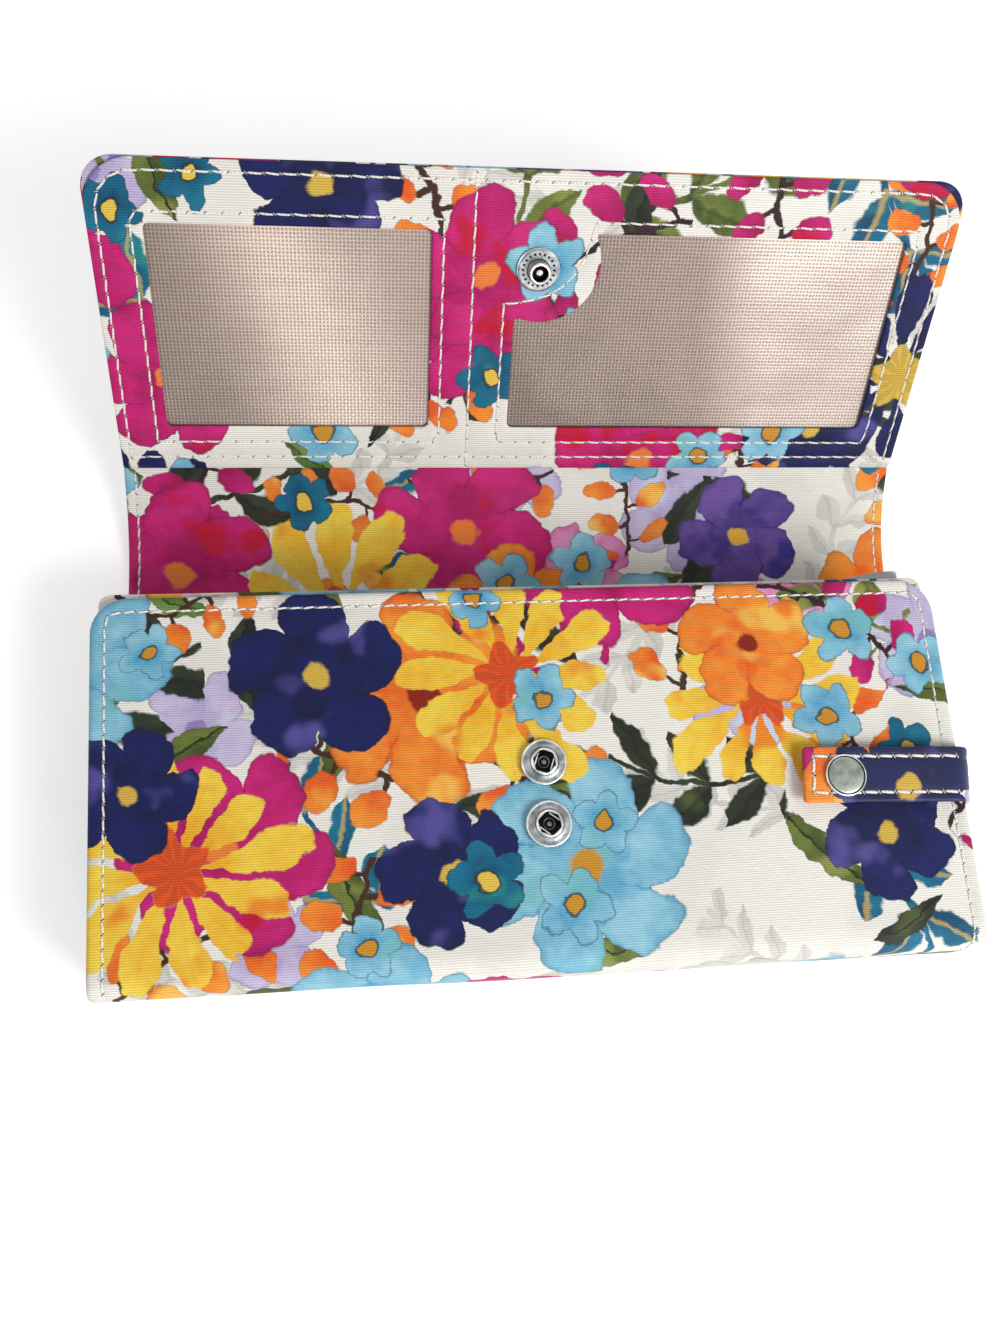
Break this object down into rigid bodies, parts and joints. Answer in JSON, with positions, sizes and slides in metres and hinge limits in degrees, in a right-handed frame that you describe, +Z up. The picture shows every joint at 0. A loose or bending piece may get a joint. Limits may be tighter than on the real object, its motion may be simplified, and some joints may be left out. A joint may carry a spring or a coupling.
{
  "type": "clutch wallet",
  "caption": "Flap clutch wallet in printed coated canvas, lying open: window flap with snap stud, hinged front cover held by a side tab, zipped pouch inside.",
  "frame": {"origin": "on the surface that the back lies on, under the middle of the box round the open wallet", "axes": "+X along the width towards the side tab, +Y from the bottom fold towards the flap, +Z up"},
  "size_m": [0.1906, 0.1678, 0.0664],
  "materials": {
    "printed_canvas": "coated printed canvas, fine ribs, slight gloss",
    "pocket_lining": "satin woven lining",
    "window_mesh": "fine square mesh with a satin gloss",
    "stiffener_board": "matt board",
    "snap_steel": "satin steel",
    "zipper": "moulded chain on woven tape"
  },
  "bodies": {
    "back": {"back_canvas": "printed_canvas", "back_stiffener": "stiffener_board", "back_lining": "printed_canvas", "bill_pocket_lining": "pocket_lining", "coin_pouch_rear": "pocket_lining", "coin_pouch_front": "printed_canvas", "zipper_tape_rear": "zipper", "zipper_tape_front": "zipper", "zipper_chain": "zipper", "zipper_stop_left": "snap_steel", "zipper_stop_right": "snap_steel", "rear_card_slot_1": "pocket_lining", "rear_card_slot_2": "pocket_lining", "rear_card_slot_3": "pocket_lining"},
    "spine": {"spine_canvas": "printed_canvas", "spine_lining": "printed_canvas"},
    "flap": {"flap_canvas": "printed_canvas", "flap_stiffener": "stiffener_board", "flap_pocket_lining": "window_mesh", "small_window_mesh": "window_mesh", "large_window_mesh": "window_mesh", "flap_window_frame": "printed_canvas", "flap_snap_stud": "snap_steel", "flap_stud_rivet": "snap_steel"},
    "bottom": {"bottom_canvas": "printed_canvas", "bottom_lining": "pocket_lining"},
    "front": {"front_canvas": "printed_canvas", "front_stiffener": "stiffener_board", "front_lining": "pocket_lining", "front_upper_socket": "snap_steel", "front_lower_socket": "snap_steel", "upper_socket_spring": "snap_steel", "lower_socket_spring": "snap_steel", "upper_socket_rivet": "snap_steel", "lower_socket_rivet": "snap_steel", "front_tab_stud": "snap_steel", "tab_stud_rivet": "snap_steel", "front_card_slot_1": "pocket_lining", "front_card_slot_2": "pocket_lining", "tab_side_leg": "printed_canvas"},
    "tab": {"tab_strap": "printed_canvas", "tab_snap_cap": "snap_steel", "tab_snap_socket": "snap_steel"},
    "zipper_slider": {"zipper_slider": "snap_steel"},
    "zipper_pull": {"zipper_pull": "snap_steel"}
  },
  "joints": [
    {"name": "spine_fold", "type": "hinge", "parent": "back", "child": "spine", "pos_m": [-0.00075, 0.01159, 0.00125], "axis": [1, 0, 0], "range_deg": [-12, 70]},
    {"name": "flap_fold", "type": "hinge", "parent": "spine", "child": "flap", "pos_m": [-0.00075, 0.03816, 0.01071], "axis": [1, 0, 0], "range_deg": [-40, 55]},
    {"name": "bottom_fold", "type": "hinge", "parent": "back", "child": "bottom", "pos_m": [-0.00075, -0.08141, 0.00125], "axis": [1, 0, 0], "range_deg": [0, 85]},
    {"name": "front_fold", "type": "hinge", "parent": "bottom", "child": "front", "pos_m": [-0.00075, -0.08141, 0.02525], "axis": [1, 0, 0], "range_deg": [0, 95]},
    {"name": "tab_lift", "type": "hinge", "parent": "front", "child": "tab", "pos_m": [0.09465, -0.0439, 0.0291], "axis": [0, 1, 0], "range_deg": [0, 180]},
    {"name": "zipper_slide", "type": "slide", "parent": "back", "child": "zipper_slider", "axis": [-1, 0, 0], "range_m": [0, 0.1464]},
    {"name": "zipper_pull_swing", "type": "hinge", "parent": "zipper_slider", "child": "zipper_pull", "pos_m": [0.0732, -0.00161, 0.0115], "axis": [0, 0, -1], "range_deg": [0, 180]}
  ]
}
